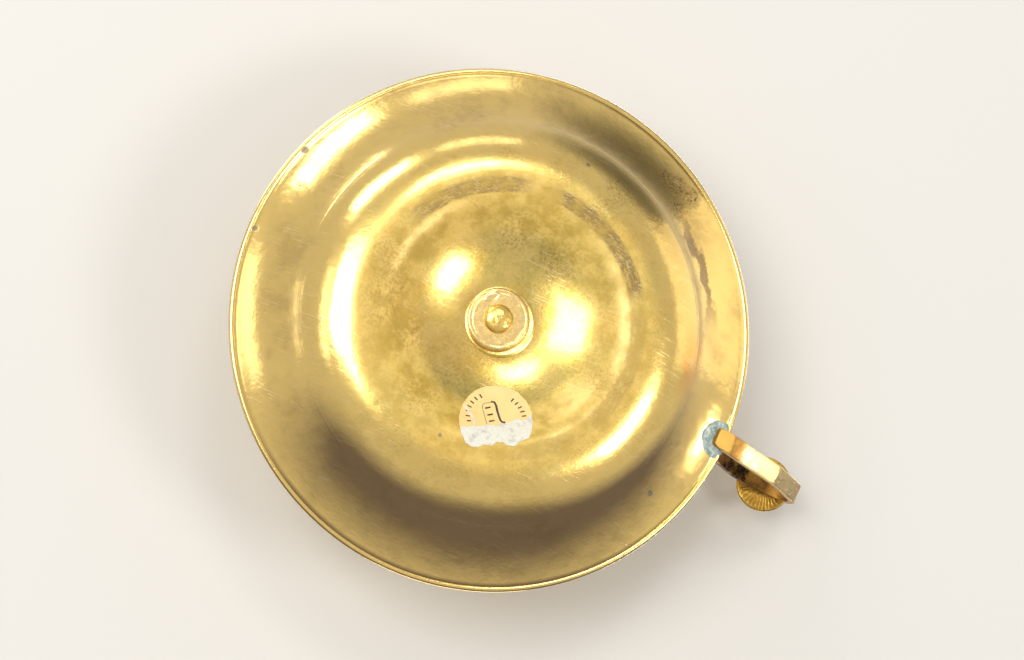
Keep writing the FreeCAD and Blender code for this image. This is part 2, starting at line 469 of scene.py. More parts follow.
def end_shape(tree, given, geometry, push):
    """Moves a surface along its normals, makes it real and gives it its finish."""
    facing = add(tree, "GeometryNodeInputNormal")
    offset = add(tree, "ShaderNodeVectorMath", {0: facing, "Scale": push}, operation="SCALE")
    moved = add(tree, "GeometryNodeSetPosition", {"Geometry": geometry, "Offset": offset})
    whole = add(tree, "GeometryNodeRealizeInstances", {"Geometry": moved})
    painted = add(tree, "GeometryNodeSetMaterial", {"Geometry": whole, "Material": given["Finish"]})
    add(tree, "NodeGroupOutput", {"Shape": painted})


def spin_tree():
    """Geometry nodes that turn a profile round the Z axis and give it the maker's slight waviness."""
    tree, given = start_shape("turned_profile", [
        ("Profile", "Geometry"), ("Segments", "Int"), ("Hub radius", "Float"), ("Waviness", "Float"),
        ("Wave length", "Float")])
    circle = add(tree, "GeometryNodeCurvePrimitiveCircle",
                 {"Resolution": given["Segments"], "Radius": given["Hub radius"]})
    swept = add(tree, "GeometryNodeCurveToMesh", {"Curve": circle, "Profile Curve": given["Profile"]})
    merged = add(tree, "GeometryNodeMergeByDistance", {"Geometry": swept, "Distance": 2e-6})
    size = add(tree, "ShaderNodeMath", {0: 1.0, 1: given["Wave length"]}, operation="DIVIDE")
    waves = add(tree, "ShaderNodeTexNoise", {"Scale": size, "Detail": 2.0})
    level = add(tree, "ShaderNodeMath", {0: waves, 1: 0.5}, operation="SUBTRACT")
    push = add(tree, "ShaderNodeMath", {0: level, 1: given["Waviness"]}, operation="MULTIPLY")
    end_shape(tree, given, merged, push)
    return tree


def grown(name, source, tree, values):
    """Plain mesh that a geometry-node tree makes from a source curve or mesh."""
    seed = bpy.data.objects.new(name + "_seed", source)
    bpy.context.scene.collection.objects.link(seed)
    modifier = seed.modifiers.new("shape", "NODES")
    modifier.node_group = tree
    for item in tree.interface.items_tree:
        if item.in_out == "INPUT" and item.name in values:
            modifier[item.identifier] = values[item.name]
    graph = bpy.context.evaluated_depsgraph_get()
    mesh = bpy.data.meshes.new_from_object(seed.evaluated_get(graph))
    mesh.name = name
    bpy.data.objects.remove(seed)
    return mesh


SPIN = spin_tree()
HUB = 30.0                  # radius in mm that the profile's own origin is swept along


def turned(name, points, segments, waviness, wave_length, material):
    """Mesh of a closed profile, given as points (radius, height) in mm, turned round the axis."""
    curve = bpy.data.curves.new(name + "_profile", "CURVE")
    curve.dimensions = "3D"
    spline = curve.splines.new("POLY")
    spline.points.add(len(points) - 1)
    for spot, (radius, height) in zip(spline.points, points):
        spot.co = ((radius - HUB) / 1000, -height / 1000, 0, 1)
    spline.use_cyclic_u = True
    values = {"Segments": segments, "Hub radius": HUB / 1000, "Waviness": waviness / 1000,
              "Wave length": wave_length / 1000, "Finish": material}
    return grown(name, curve, SPIN, values)


def arc_points(centre, radius, first, last, count):
    """Points (x, z) on an arc between two angles, in degrees."""
    angles = [first + (last - first) * i / count for i in range(count + 1)]
    return [(centre[0] + radius * cosine(a), centre[1] + radius * sine(a)) for a in angles]


def spaced(points, spacing):
    """The same outline with long sides divided."""
    result = []
    for a, b in zip(points, points[1:] + points[:1]):
        count = max(1, round(math.dist(a, b) / spacing))
        result += [(a[0] + (b[0] - a[0]) * i / count, a[1] + (b[1] - a[1]) * i / count) for i in range(count)]
    return result


def through(start, middle, end, count=14):
    """Points on the arc from start to end that passes through middle."""
    a, b, c = Vector(start), Vector(middle), Vector(end)
    d = 2 * (a.x * (b.y - c.y) + b.x * (c.y - a.y) + c.x * (a.y - b.y))
    x = (a.length_squared * (b.y - c.y) + b.length_squared * (c.y - a.y) + c.length_squared * (a.y - b.y)) / d
    y = (a.length_squared * (c.x - b.x) + b.length_squared * (a.x - c.x) + c.length_squared * (b.x - a.x)) / d
    first, mid, last = [math.degrees(math.atan2(p.y - y, p.x - x)) for p in (a, b, c)]
    sweep = (last - first) % 360
    if (mid - first) % 360 > sweep:
        sweep -= 360
    return arc_points((x, y), (a - Vector((x, y))).length, first, first + sweep, count)


def skin(name, rows, capped=False):
    """Mesh stretched over rows of points in mm, each of which closes on itself."""
    count = len(rows[0])
    faces = []
    for i in range(len(rows) - 1):
        for j in range(count):
            k = (j + 1) % count
            faces.append((i * count + j, i * count + k, (i + 1) * count + k, (i + 1) * count + j))
    if capped:
        last = (len(rows) - 1) * count
        faces += [tuple(range(count)), tuple(range(last, last + count))]
    mesh = bpy.data.meshes.new(name)
    mesh.from_pydata([[c / 1000 for c in point] for row in rows for point in row], [], faces)
    return mesh


def button(name, rings, sectors, place):
    """Closed round button: place(share, angle, upper) gives a point of its lower or upper side in mm."""
    shares = [i / rings for i in range(rings + 1)]
    levels = [(share, False) for share in shares] + [(share, True) for share in reversed(shares)]
    return skin(name, [[place(share, TAU * j / sectors, upper) for j in range(sectors)]
                       for share, upper in levels])


def joined(name, meshes):
    """One mesh from several."""
    whole = bmesh.new()
    for mesh in meshes:
        whole.from_mesh(mesh)
    mesh = bpy.data.meshes.new(name)
    whole.to_mesh(mesh)
    whole.free()
    return mesh


def lumps(x, y, size, seed):
    return noise.noise(Vector((x / size, y / size, seed)))


# ---------------------------------------------------------------- masks for the finishes

CLEAN_BRASS = "#EECB74"
OLIVE_TARNISH = "#BC9731"
BROWN_TARNISH = "#7A5A30"
# Near-black brown that the finger ring uses as painted shade
PAINTED_SHADE_BROWN = "#2E2218"


def place_in_mm(tree, turn=0.0, stretch=(1, 1, 1)):
    """The point on the piece in millimetres, turned about Z and stretched for streaks."""
    point = add(tree, "ShaderNodeTexCoord", output="Object")
    scale = [1000 / s for s in stretch]
    return add(tree, "ShaderNodeMapping",
               {"Vector": point, "Rotation": (0, 0, math.radians(turn)), "Scale": scale}, vector_type="POINT")


def patches(tree, place, size, low, high, detail=5.0):
    """Mask of irregular patches about size millimetres across."""
    inputs = {"Vector": place, "Scale": 1 / size, "Detail": detail, "Roughness": 0.62}
    cloud = add(tree, "ShaderNodeTexNoise", inputs, output="Fac")
    return add(tree, "ShaderNodeMapRange", {"Value": cloud, "From Min": low, "From Max": high},
               output="Result", interpolation_type="SMOOTHSTEP")


def band(tree, value, inner, outer, soft):
    """Mask that is 1 where a value lies between inner and outer, with soft edges."""
    sides = [add(tree, "ShaderNodeMapRange", {"Value": value, "From Min": edge - way, "From Max": edge + way},
                 output="Result", interpolation_type="SMOOTHSTEP")
             for edge, way in ((inner, soft), (outer, -soft))]
    return overlap(tree, *sides)


def scratches(tree, turns, length, width, low):
    """Mask of straight hairlines that run in a few directions."""
    return either(tree, [
        patches(tree, place_in_mm(tree, turn, (length, width, length)), 1.0, low, low + 0.03, 1.0)
        for turn in turns])


def tool_rings(tree, radius, pitch):
    """Relief of the rings that a tool leaves, pitch millimetres apart."""
    turns = add(tree, "ShaderNodeMath", {0: radius, 1: TAU / pitch}, operation="MULTIPLY")
    return add(tree, "ShaderNodeMath", {0: turns}, operation="SINE")


def marked_places(tree, place, marks):
    """Mask of soft round marks on the dish, each given by its x, y and radius."""
    flat = add(tree, "ShaderNodeVectorMath", {0: place, 1: (1, 1, 0)}, operation="MULTIPLY")
    found = []
    for x, y, size in marks:
        away = add(tree, "ShaderNodeVectorMath", {0: flat, 1: (x, y, 0)}, output="Value",
                   operation="DISTANCE")
        found.append(add(tree, "ShaderNodeMapRange",
                         {"Value": away, "From Min": size, "From Max": size * 0.4},
                         output="Result", interpolation_type="SMOOTHSTEP"))
    return either(tree, found)


def end_finish(tree, relief, depth, shader):
    """Ends a finish: its shader takes these values, over a relief that is depth millimetres high."""
    bump = add(tree, "ShaderNodeBump", {"Height": relief, "Strength": 1.0, "Distance": depth / 1000})
    surface = add(tree, "ShaderNodeBsdfPrincipled", {**shader, "Normal": bump})
    add(tree, "ShaderNodeOutputMaterial", {"Surface": surface})


def end_metal(tree, colour, roughness, relief, depth):
    """Ends a bare metal's finish."""
    end_finish(tree, relief, depth, {"Base Color": colour, "Metallic": 1.0, "Roughness": roughness})


# ---------------------------------------------------------------- spun sheet brass

# Places (x, y) and radii in mm of the dish's own blemishes
STAINS = [(28.4, -56.5, 5.0), (24.4, -57.5, 3.5), (33.0, -56.0, 4.0), (30.5, -51.5, 3.0)]
PITTED_SPOTS = [(-35.2, -1.9, 7.0), (-31.1, 4.0, 7.0), (-30.8, 11.5, 7.0), (-21.5, 15.4, 6.0),
                (-11.5, 28.1, 7.0), (7.1, -21.0, 8.0), (-7.0, -23.0, 7.0), (11.0, -36.0, 6.0),
                (12.9, -44.7, 5.0), (31.0, 4.0, 6.0)]
DARK_SPOTS = [(-65.7, -19.9, 1.6), (-68.3, 5.0, 1.3), (56.0, 22.4, 1.3), (2.5, -47.0, 0.9), (-2.6, 35.3, 0.8)]
# Stretches of the rubbed ring: first and last angle in radians, and how worn each is
WEAR_SIDES = [(-2.75, -1.85, 0.75), (-1.60, -0.62, 1.0), (-0.50, 0.45, 0.40), (0.6, 1.1, 0.25)]


def dish_masks(tree):
    """The places and soft masks that every mark on the dish is made from."""
    place = place_in_mm(tree)
    radius, angle = radius_and_angle(tree, place)
    return SimpleNamespace(place=place, radius=radius, angle=angle,
                           clouds=patches(tree, place, 15.0, 0.36, 0.62),
                           film=patches(tree, place, 6.0, 0.40, 0.64),
                           grain=patches(tree, place, 0.8, 0.42, 0.68, 4.0))


def tarnish_film(tree, dish):
    """Where the olive film lies, thickest inside the rubbed ring and thinner up the wall, and how thick."""
    uneven = weighted(tree, [(dish.film, 7.0)], dish.radius)
    inner = add(tree, "ShaderNodeMapRange", {"Value": uneven, "From Min": 56.0, "From Max": 37.0},
                output="Result", interpolation_type="SMOOTHSTEP")
    thick = weighted(tree, [(dish.film, 0.30), (dish.clouds, 0.25), (dish.grain, 0.14)], 0.20)
    return inner, overlap(tree, inner, thick)


def flange_marks(tree, dish):
    """Soft brown clouds from handling, stains beside the rim, pitted patches and dark spots."""
    stains, pits, spots = [marked_places(tree, dish.place, places)
                           for places in (STAINS, PITTED_SPOTS, DARK_SPOTS)]
    flange = band(tree, dish.radius, 52.0, 69.5, 4.0)
    browned = overlap(tree, flange, dish.clouds, weighted(tree, [(dish.film, 0.22)], 0.08))
    stained = overlap(tree, stains, weighted(tree, [(dish.grain, 0.9)], 0.15))
    pitted = overlap(tree, pits, weighted(tree, [(dish.grain, 0.60), (dish.film, 0.20)]))
    return browned, stained, pitted, spots


def flange_arcs(tree, dish):
    """Two arcs on one side of the flange: a brown one that is a painted dark reflection, and an orange one
    further in.
    """
    waved = weighted(tree, [(dish.film, 2.0)], dish.radius)
    # painted reflection: a dark-brown arc at a fixed radius, where the flange mirrors a dark part of the room
    painted_dark_reflection = overlap(tree, band(tree, waved, 57.2, 60.0, 0.7), band(tree, dish.angle, -0.96, -0.50, 0.14))
    orange_arc = overlap(tree, band(tree, waved, 50.0, 55.0, 1.6), band(tree, dish.angle, -0.40, -0.10, 0.12))
    return painted_dark_reflection, orange_arc


def rubbed_ring(tree, dish):
    """The ring that tables have rubbed: underneath only, strongest on one side and broken along its run."""
    run = add(tree, "ShaderNodeMath", {0: dish.angle, 1: 9.0}, operation="MULTIPLY")
    round_place = add(tree, "ShaderNodeCombineXYZ", {"X": dish.radius, "Y": run})
    streaks = add(tree, "ShaderNodeTexNoise", {"Vector": round_place, "Scale": 1.1, "Detail": 6.0,
                                               "Roughness": 0.7}, output="Fac")
    broken = add(tree, "ShaderNodeMapRange", {"Value": streaks, "From Min": 0.28, "From Max": 0.50},
                 output="Result")
    shifted = weighted(tree, [(streaks, 2.4)], dish.radius)
    ring = band(tree, shifted, WEAR_RADIUS - 1.1, WEAR_RADIUS + 2.9, 0.5)
    sides = [(band(tree, dish.angle, first, last, 0.10), worn) for first, last, worn in WEAR_SIDES]
    below_only = add(tree, "ShaderNodeAttribute", output="Fac", attribute_name="underside")
    return overlap(tree, weighted(tree, sides, 0.12), below_only, ring, broken)


def dish_marks(tree, dish):
    """Every mark on the dish, as masks by name."""
    inner, filmed = tarnish_film(tree, dish)
    browned, stained, pitted, spotted = flange_marks(tree, dish)
    painted_dark_reflection, orange_arc = flange_arcs(tree, dish)
    worn = rubbed_ring(tree, dish)
    return SimpleNamespace(
        inner=inner, filmed=filmed, browned=browned, stained=stained, pitted=pitted, spotted=spotted,
        painted_dark_reflection=painted_dark_reflection, orange_arc=orange_arc, worn=worn, foot=band(tree, dish.radius, 24.0, 39.5, 2.5),
        rubs=overlap(tree, scratches(tree, (20, 75, 130), 2.5, 0.2, 0.68), worn),
        lines=overlap(tree, scratches(tree, (24, 71, 118, 161), 9.0, 0.35, 0.71), dish.clouds))


def dish_colour(tree, dish, marks):
    """Clean brass with the dish's marks laid over it in turn."""
    greenish = patches(tree, place_in_mm(tree, 40.0), 22.0, 0.42, 0.60, 3.0)
    return layered(tree, CLEAN_BRASS, [
        (marks.filmed, layered(tree, OLIVE_TARNISH, [(overlap(tree, greenish, 0.8), "#A59C48")])),
        (overlap(tree, marks.inner, dish.clouds, weighted(tree, [(dish.grain, 0.26)], 0.05)), BROWN_TARNISH),
        (marks.browned, BROWN_TARNISH),
        (marks.stained, "#6E4F26"),
        # painted dark reflection on the flange, then the orange arc
        (overlap(tree, marks.painted_dark_reflection, 0.80), "#6E5222"),
        (overlap(tree, marks.orange_arc, 0.55), "#E29A34"),
        (marks.pitted, "#86682E"),
        (overlap(tree, marks.spotted, 0.8), "#5B5852"),
        (marks.worn, "#5E4A2E"),
        (marks.rubs, "#E8DCC0"),
        (overlap(tree, marks.lines, 0.35), "#FFEFC0"),
        (overlap(tree, marks.foot, weighted(tree, [(dish.film, 0.40)], 0.40)), "#A48633"),
    ])


def spun_sheet_brass():
    """Spun brass sheet: mirror-like flange, dull olive film inside the rubbed ring, brown handling marks."""
    material, tree = new_material("spun_sheet_brass")
    dish = dish_masks(tree)
    marks = dish_marks(tree, dish)
    roughness = weighted(tree, [
        (marks.inner, 0.05), (marks.filmed, 0.12), (marks.foot, 0.06), (marks.browned, 0.22),
        (marks.stained, 0.25), (marks.pitted, 0.15), (marks.spotted, 0.4), (marks.worn, 0.35),
        (marks.lines, 0.05)], 0.15)
    # Spinning lines 0.9 mm apart, drawn coarser than the real 0.3 mm
    relief = weighted(tree, [
        (tool_rings(tree, dish.radius, 0.9), 0.012), (patches(tree, dish.place, 3.5, 0.2, 0.8, 2.0), 0.55),
        (dish.grain, 0.05), (marks.lines, -0.05), (marks.worn, -0.10),
        (band(tree, dish.radius, CREASE_RADIUS - 0.2, CREASE_RADIUS + 0.2, 0.15), 0.35)])
    # Tarnish round the foot hides most of the metal and of the old lacquer's gloss
    end_finish(tree, relief, 0.05, {
        "Base Color": dish_colour(tree, dish, marks), "Roughness": roughness,
        "Metallic": weighted(tree, [(marks.foot, -0.8)], 1.0),
        "Coat Weight": weighted(tree, [(marks.foot, -0.8)], 0.8), "Coat Roughness": 0.15})
    return material


# ---------------------------------------------------------------- other finishes


def turned_brass(name, ring_pitch, tarnish, base_roughness, clean=CLEAN_BRASS):
    """Lathe-turned brass: fine tool rings, tarnish in soft spots."""
    material, tree = new_material(name)
    place = place_in_mm(tree)
    radius, _ = radius_and_angle(tree, place)
    spots = patches(tree, place, 4.0, 0.40, 0.66)
    grain = patches(tree, place, 0.9, 0.42, 0.66, 3.0)
    dull = weighted(tree, [(spots, 0.45 * tarnish), (grain, 0.30 * tarnish)], 0.10 * tarnish)
    deep = overlap(tree, spots, grain, 0.30 * tarnish)
    colour = layered(tree, clean, [(dull, OLIVE_TARNISH), (deep, BROWN_TARNISH)])
    lines = scratches(tree, (33, 96, 140), 9.0, 0.35, 0.70)
    roughness = weighted(tree, [(dull, 0.22), (grain, 0.06)], base_roughness)
    rings = tool_rings(tree, radius, ring_pitch)
    end_metal(tree, colour, roughness,
              weighted(tree, [(rings, 0.04), (spots, 0.30), (grain, 0.12), (lines, -0.12)]), 0.05)
    return material


def cast_brass():
    """Sand-cast brass: filed bright on the outer face, pitted, and darkened with painted shade on the sides,
    the loop's inner face and the upper leg.
    """
    material, tree = new_material("cast_brass")
    place = place_in_mm(tree)
    pits = patches(tree, place, 0.8, 0.44, 0.60, 3.0)
    clouds = patches(tree, place, 5.0, 0.36, 0.64)
    painted_shade, pad, filed = [add(tree, "ShaderNodeAttribute", output="Fac", attribute_name=name)
                        for name in ("painted_shade", "pad", "filed")]
    # painted shade: the loop's inner face and the far leg's edges darkened as if in shadow, mottled by clouds
    # and pits
    dark = overlap(tree, painted_shade, weighted(tree, [(clouds, 0.65), (pits, -0.35)], 0.55))
    colour = layered(tree, "#C99A4A", [
        (weighted(tree, [(clouds, 0.40), (pits, 0.30)], 0.10), "#86592A"),
        (overlap(tree, filed, 0.9), "#F0D694"),
        # painted shade laid over the cast brass
        (dark, PAINTED_SHADE_BROWN),
        (overlap(tree, pad, 0.75), "#D9AE58"),
    ])
    roughness = weighted(tree, [(clouds, 0.10), (dark, 0.30), (filed, -0.08), (pad, 0.12)], 0.30)
    file_place = place_in_mm(tree, 0, (0.35, 12.0, 2.0))
    strokes = add(tree, "ShaderNodeTexNoise", {"Vector": file_place, "Scale": 1.0, "Detail": 2.0},
                  output="Fac")
    relief = weighted(tree, [(pits, -0.55), (overlap(tree, strokes, filed), 0.8), (clouds, 0.3)])
    end_metal(tree, colour, roughness, relief, 0.06)
    return material


def filed_brass():
    """Thumb plate: cast, then filed by hand from the middle outwards; warm with grime in the flutes."""
    material, tree = new_material("filed_brass")
    place = place_in_mm(tree)
    grain = patches(tree, place, 0.7, 0.40, 0.66, 3.0)
    clouds = patches(tree, place, 4.0, 0.36, 0.64)
    groove = add(tree, "ShaderNodeAttribute", output="Fac", attribute_name="flute")
    grime = weighted(tree, [(clouds, 0.45), (groove, 0.35)], 0.15)
    roughness = weighted(tree, [(grain, 0.10), (groove, 0.15)], 0.26)
    end_metal(tree, layered(tree, "#C09A46", [(grime, "#7A5A22")]), roughness,
              weighted(tree, [(grain, 0.4), (clouds, 0.3)]), 0.04)
    return material


def weathered_solder():
    """Lead-tin solder under a crust of verdigris: matt, grey-green, pale and powdery at its edge."""
    material, tree = new_material("weathered_solder")
    place = place_in_mm(tree)
    crumbs = patches(tree, place, 0.9, 0.34, 0.68, 4.0)
    clouds = patches(tree, place, 2.6, 0.38, 0.62)
    colour = layered(tree, "#86988E", [(clouds, "#C2CAC2"), (overlap(tree, crumbs, 0.6), "#4F6F64")])
    end_finish(tree, weighted(tree, [(crumbs, 1.0), (clouds, 0.8)]), 0.15,
               {"Base Color": colour, "Metallic": 0.15, "Roughness": 0.72})
    return material


def bright_solder():
    """Lead-tin solder on the upper side: soft grey metal, dulled by oxide, with brass worked into it."""
    material, tree = new_material("bright_solder")
    place = place_in_mm(tree)
    clouds = patches(tree, place, 2.2, 0.38, 0.62)
    crumbs = patches(tree, place, 0.7, 0.40, 0.66, 3.0)
    colour = layered(tree, "#B9B3A4", [(clouds, "#8E8368"), (overlap(tree, crumbs, 0.4), "#5C5546")])
    roughness = weighted(tree, [(clouds, 0.15), (crumbs, 0.12)], 0.34)
    end_metal(tree, colour, roughness, weighted(tree, [(crumbs, 0.7), (clouds, 0.8)]), 0.12)
    return material


def coated_paper():
    """Gold-tan coated label paper: faintly glossy, slightly soiled."""
    material, tree = new_material("coated_paper")
    place = place_in_mm(tree)
    soil = patches(tree, place, 3.0, 0.40, 0.70)
    fibre = patches(tree, place, 0.4, 0.35, 0.65, 2.0)
    colour = layered(tree, "#DDB878", [(overlap(tree, soil, 0.30), "#C39C58")])
    end_finish(tree, fibre, 0.01, {"Base Color": colour, "Roughness": 0.45})
    return material


def torn_paper():
    """Core of the paper where the printed face is torn away: off-white, matt, with grey traces."""
    material, tree = new_material("torn_paper")
    place = place_in_mm(tree)
    traces = patches(tree, place, 2.2, 0.52, 0.68)
    fibre = patches(tree, place, 0.5, 0.35, 0.65, 4.0)
    colour = layered(tree, "#C9C6B8", [(overlap(tree, traces, 0.6), "#8F9084"),
                                       (overlap(tree, fibre, 0.30), "#A9A792")])
    end_finish(tree, fibre, 0.04, {"Base Color": colour, "Roughness": 0.85})
    return material


def printing_ink():
    """Black printing ink on the label, worn thin in places."""
    material, tree = new_material("printing_ink")
    thin = patches(tree, place_in_mm(tree), 0.6, 0.45, 0.75, 3.0)
    colour = layered(tree, "#2B2622", [(overlap(tree, thin, 0.5), "#8A7550")])
    surface = add(tree, "ShaderNodeBsdfPrincipled", {"Base Color": colour, "Roughness": 0.5})
    add(tree, "ShaderNodeOutputMaterial", {"Surface": surface})
    return material


# ---------------------------------------------------------------- dish, socket, washer


def make_dish():
    """Sheet spun to a dome, a rounded foot and a flared flange, with a rolled bead at its rim."""
    under, over = [[(p.x, p.z) for p, _ in bend_line(DISH_START, -DOME_SLOPE, DISH_STEPS, side, 1.1)]
                   for side in (0.0, SHEET)]
    rim = (under[-1][0] + over[-1][0]) / 2 - 0.15, (under[-1][1] + over[-1][1]) / 2
    bead = arc_points(rim, BEAD_RADIUS, RIM_SLOPE - BEAD_SWEEP, RIM_SLOPE + BEAD_SWEEP, 14)
    scribed = [(SCRIBED_RADIUS + out, SEAT_BOTTOM - deep)
               for out, deep in ((-0.25, 0), (-0.1, 0.07), (0.1, 0.07), (0.25, 0))]
    seat = [(HOLE_RADIUS, DISH_TOP), (HOLE_RADIUS, SEAT_BOTTOM)] + scribed + [
        (SEAT_RADIUS, SEAT_BOTTOM + 0.05), (SEAT_RADIUS + 0.1, DOME_RISE - 0.06)]
    outline = seat + under[1:-1] + bead + over[-2::-1]
    mesh = turned("drip_dish_brass", outline, 400, 0.05, 9.0, spun_sheet_brass())
    finish_piece("drip_dish_brass", mesh, "drip_dish")
    below_only = [float(vertex.normal.z < 0) for vertex in mesh.vertices]
    mesh.attributes.new("underside", "FLOAT", "POINT").data.foreach_set("value", below_only)


def socket_outline():
    """Outline of the cup, stem and tenon, with the small fillets that the turning tool left."""
    foot, neck = SOCKET_FOOT_RADIUS, NECK_RADIUS
    foot_top = DISH_TOP + SOCKET_FOOT_EDGE
    knop_low = foot_top + 5.0
    knop_high = knop_low + KNOP_HEIGHT
    bore_floor = SOCKET_TOP - BORE_DEPTH
    cup_low = bore_floor - 3.0
    corners = [(0, WASHER_BOTTOM), (TENON_RADIUS, WASHER_BOTTOM), (TENON_RADIUS, DISH_TOP),
               (foot - 0.2, DISH_TOP), (foot, DISH_TOP + 0.25), (foot, foot_top - 0.3),
               (foot - 0.3, foot_top)]
    stem = through((foot, foot_top), (neck + 1.0, foot_top + 1.6), (neck, knop_low))
    knop = through((neck, knop_low), (KNOP_RADIUS, (knop_low + knop_high) / 2), (neck, knop_high))
    cup = through((neck, knop_high), (neck + 2.6, cup_low), (CUP_RADIUS, cup_low + 3.5))
    flare = through((CUP_RADIUS, SOCKET_TOP - 5.0), (CUP_RADIUS + 1.4, SOCKET_TOP - 2.6),
                    (LIP_RADIUS, SOCKET_TOP - LIP_THICKNESS))
    lip = [(LIP_RADIUS, SOCKET_TOP - 0.4), (LIP_RADIUS - 0.12, SOCKET_TOP - 0.12),
           (LIP_RADIUS - 0.4, SOCKET_TOP)]
    bore = [(BORE_RADIUS + 0.4, SOCKET_TOP), (BORE_RADIUS + 0.1, SOCKET_TOP - 0.12),
            (BORE_RADIUS, SOCKET_TOP - 0.45), (BORE_RADIUS, bore_floor + 0.6),
            (BORE_RADIUS - 0.6, bore_floor), (0, bore_floor)]
    return corners + stem[1:] + knop[1:] + cup[1:] + flare + lip + bore


def struck_disc(name, radius, rings, sectors, top, height):
    """Round button beside the axis: flat on top, and underneath as deep as height(x, y) says."""
    def place(share, angle, upper):
        x, y = radius * share * math.cos(angle), radius * share * math.sin(angle)
        return OFF_AXIS.x + x, OFF_AXIS.y + y, top if upper else height(x, y)
    return button(name, rings, sectors, place)


def head_height(x, y):
    """Underside of the peened head: a low dome with hammer folds and a torn corner."""
    reach = math.hypot(x, y) / HEAD_RADIUS
    dome = HEAD_HEIGHT * math.sqrt(max(0.0, 1 - reach ** 2.6)) * 0.94
    across = x * cosine(HAMMER_ANGLE) + y * sine(HAMMER_ANGLE)
    over = -x * sine(HAMMER_ANGLE) + y * cosine(HAMMER_ANGLE)
    fold = 0.16 * ramp(across, -1.05, -0.75) * ramp(over, -3.0, -0.5)
    flap = 0.14 * ramp(across, 1.5, 1.75) * (1 - ramp(abs(over), 1.2, 2.6))
    dents = 0.07 * lumps(x, y, 1.6, 3.0) + 0.006 * lumps(x, y, 0.7, 9.0)
    return WASHER_BOTTOM - max(0.02, dome + (fold - flap + dents) * (1 - ramp(reach, 0.85, 1.0)))


def washer_height(x, y):
    """Underside of the washer: bevelled edge, a scribed line, an oval lump and a flat struck on one side."""
    reach = math.hypot(x, y)
    bevel = WASHER_BEVEL * ramp(reach, WASHER_RADIUS - 0.45, WASHER_RADIUS)
    groove = 0.07 * ramp(0.35 - abs(reach - WASHER_GROOVE_RADIUS), 0, 0.3)
    u, v = x + 4.2, y + 4.6
    along_lump = (u * cosine(-49) + v * sine(-49)) / 2.4
    across_lump = (-u * sine(-49) + v * cosine(-49)) / 1.3
    lump = 0.22 * ramp(1 - math.hypot(along_lump, across_lump), 0, 0.35)
    chord = 0.10 * ramp(-x * 0.35 + y * 0.94, 4.0, 4.4)
    dents = 0.05 * lumps(x, y, 2.4, 5.0) + 0.006 * lumps(x, y, 0.7, 1.0)
    return WASHER_BOTTOM + bevel + groove - lump + chord + dents


def make_socket():
    """Candle cup, stem and tenon turned in one, with the tenon's end peened over the washer."""
    brass = turned_brass("turned_brass", 0.6, 0.7, 0.18)
    cup = turned("candle_socket_cup", spaced(socket_outline(), 1.2), 160, 0.02, 5.0, brass)
    head = struck_disc("tenon_head", HEAD_RADIUS, 26, 96, WASHER_BOTTOM + 0.4, head_height)
    mesh = joined("candle_socket_brass", [cup, head])
    mesh.materials.append(brass)
    finish_piece("candle_socket_brass", mesh, "candle_socket", 40)


def make_washer():
    mesh = struck_disc("clamp_washer_brass", WASHER_RADIUS, 50, 180, SEAT_BOTTOM, washer_height)
    mesh.materials.append(turned_brass("struck_brass", 1.4, 0.35, 0.24, "#ECCB88"))
    finish_piece("clamp_washer_brass", mesh, "clamp_washer", 40)


# ---------------------------------------------------------------- finger ring and thumb rest


def strap_section(half, thick, corner):
    """Outline (across, up) of the strap with rounded corners and closely spaced sides."""
    corners = [(half - corner, corner, -90), (half - corner, thick - corner, 0),
               (corner - half, thick - corner, 90), (corner - half, corner, 180)]
    outline = [p for x, y, a in corners for p in arc_points((x, y), corner, a, a + 90, 4)]
    return spaced(outline, 0.22)


def ring_relief(run, across, up, point):
    """How much of the brown pad covers a point of the strap, and how far that point is moved up, in mm."""
    outer = 1 - ramp(up, 0.0, 0.5)
    edge = PAD_LENGTH + 0.9 * lumps(across, 0, 1.1, 2.0) + 0.25 * across
    pad = outer * (1 - ramp(run, edge - 0.2, edge + 0.2))
    ridge = outer * 0.06 * sum(ramp(0.3 - abs(run - at), 0, 0.25) for at in FILE_RIDGES)
    filed = outer * plateau(run, (9.5, 11.0), FILED_END)
    rough = 0.05 * (1 - filed) * lumps(point.x + across, point.z + across, 2.2, 4.0)
    leg = ramp(run, 72.0, 76.0)
    pits = 0.18 * leg * lumps(point.x * 1.1 + across, point.z + 1.7 * across, 0.75, 8.0)
    return pad, -0.18 * pad - ridge + rough + pits


def painted_shade_on_strap(run, across, up):
    """How much painted shade a point of the strap gets: most on the hollow inner side of the loop and the
    edges of the far leg.
    """
    side = ramp(abs(across), STRAP_WIDTH / 2 - 0.35, STRAP_WIDTH / 2)
    within = ramp(up, STRAP_THICKNESS - 0.5, STRAP_THICKNESS)
    hollow = plateau(run, (44.0, 52.0), (84.0, 92.0))
    deep = plateau(run, (60.0, 66.0), (75.0, 79.0))
    return min(1.0, (0.35 * hollow + 0.75 * deep) * max(within, 0.8 * side) + 0.25 * within)


